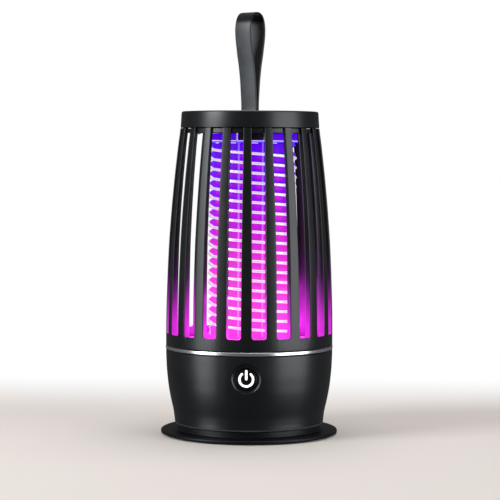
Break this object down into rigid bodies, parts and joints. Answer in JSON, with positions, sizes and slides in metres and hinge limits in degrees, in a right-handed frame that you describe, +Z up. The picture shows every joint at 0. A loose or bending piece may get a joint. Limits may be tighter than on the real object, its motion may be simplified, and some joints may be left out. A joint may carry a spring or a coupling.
{
  "type": "electric bug zapper",
  "caption": "Round portable bug zapper: tapered slatted cage round a wound wire grid and violet lamp column, push button housing, wide round foot and soft hanging loop.",
  "frame": {"origin": "middle of the underside of the rubber ring in the foot", "axes": "+Z up along the body's axis, -Y towards the power button, +X to the right of the button as seen from the front"},
  "size_m": [0.111, 0.111, 0.265],
  "materials": {
    "satin_black_plastic": "satin, fine moulded texture",
    "satin_black_foot": "semi-gloss",
    "black_rubber": "matt",
    "bright_trim": "bright plated",
    "screw_steel": "plain",
    "grid_steel_wire": "polished",
    "terminal_brass": "plain",
    "clear_comb_plastic": "clear",
    "lamp_diffuser_violet": "frosted, lit from inside",
    "symbol_light_guide": "frosted, lit from behind",
    "tray_plastic": "satin",
    "board_green": "solder mask",
    "board_white": "white solder mask",
    "core_aluminium": "extruded",
    "cell_sleeve_blue": "shrink sleeve",
    "capacitor_resin": "dipped resin",
    "transformer_ferrite": "dull",
    "led_phosphor": "lens",
    "lead_red": "sleeved",
    "lead_black": "sleeved",
    "strap_soft_black": "soft, smooth"
  },
  "bodies": {
    "base": {"base_housing": "satin_black_plastic", "terminal_block": "satin_black_plastic", "battery_cradle": "satin_black_plastic", "foot_plate": "satin_black_foot", "foot_pad": "black_rubber", "trim_ring": "bright_trim", "foot_screw_1": "screw_steel", "foot_screw_2": "screw_steel", "foot_screw_3": "screw_steel", "board_screw_1": "screw_steel", "board_screw_2": "screw_steel", "board_screw_3": "screw_steel", "switch_body": "screw_steel", "usb_socket": "screw_steel", "battery_lead_black": "lead_black", "battery_lead_red": "lead_red", "charge_light_pipe": "clear_comb_plastic", "grid_frame": "clear_comb_plastic", "switch_board": "board_green", "main_board": "board_green", "charge_board": "board_green", "hv_transformer_core": "transformer_ferrite", "hv_capacitor": "capacitor_resin", "battery_cell": "cell_sleeve_blue", "led_core": "core_aluminium", "led_strip_front": "board_white", "led_strip_rear": "board_white", "lamp_diffuser": "lamp_diffuser_violet", "upper_light_ring": "lamp_diffuser_violet", "grid_wire_live": "grid_steel_wire", "grid_wire_return": "grid_steel_wire", "feed_rod_live": "grid_steel_wire", "feed_rod_return": "grid_steel_wire", "terminal_pin_live": "terminal_brass", "terminal_pin_return": "terminal_brass", "uv_led_1": "led_phosphor", "uv_led_2": "led_phosphor", "uv_led_3": "led_phosphor", "uv_led_4": "led_phosphor", "uv_led_5": "led_phosphor", "uv_led_6": "led_phosphor", "uv_led_7": "led_phosphor", "uv_led_8": "led_phosphor"},
    "cage": {"cage": "satin_black_plastic", "top_cap": "satin_black_plastic", "cap_screw_1": "screw_steel", "cap_screw_2": "screw_steel", "cap_screw_3": "screw_steel", "strap_pin": "screw_steel"},
    "strap": {"carry_strap": "strap_soft_black"},
    "button": {"power_button": "satin_black_plastic", "button_light_guide": "symbol_light_guide"},
    "plunger": {"switch_plunger": "lead_black"},
    "tray": {"insect_tray": "tray_plastic"}
  },
  "joints": [
    {"name": "cage_twist", "type": "hinge", "parent": "base", "child": "cage", "pos_m": [0, 0, 0.0546], "axis": [0, 0, 1], "range_deg": [0, 25]},
    {"name": "strap_swing", "type": "hinge", "parent": "cage", "child": "strap", "pos_m": [0, 0, 0.1992], "axis": [0.7986, -0.6018, 0], "range_deg": [-52, 52]},
    {"name": "button_press", "type": "slide", "parent": "base", "child": "button", "axis": [0, 1, 0], "range_m": [0, 0.0006]},
    {"name": "switch_travel", "type": "slide", "parent": "base", "child": "plunger", "axis": [0, 1, 0], "range_m": [0, 0.0003]},
    {"name": "tray_lift", "type": "slide", "parent": "base", "child": "tray", "axis": [0, 0, 1], "range_m": [0, 0.05]}
  ],
  "couplings": [
    {"joint": "switch_travel", "follows": "button_press", "ratio": 0.5}
  ]
}
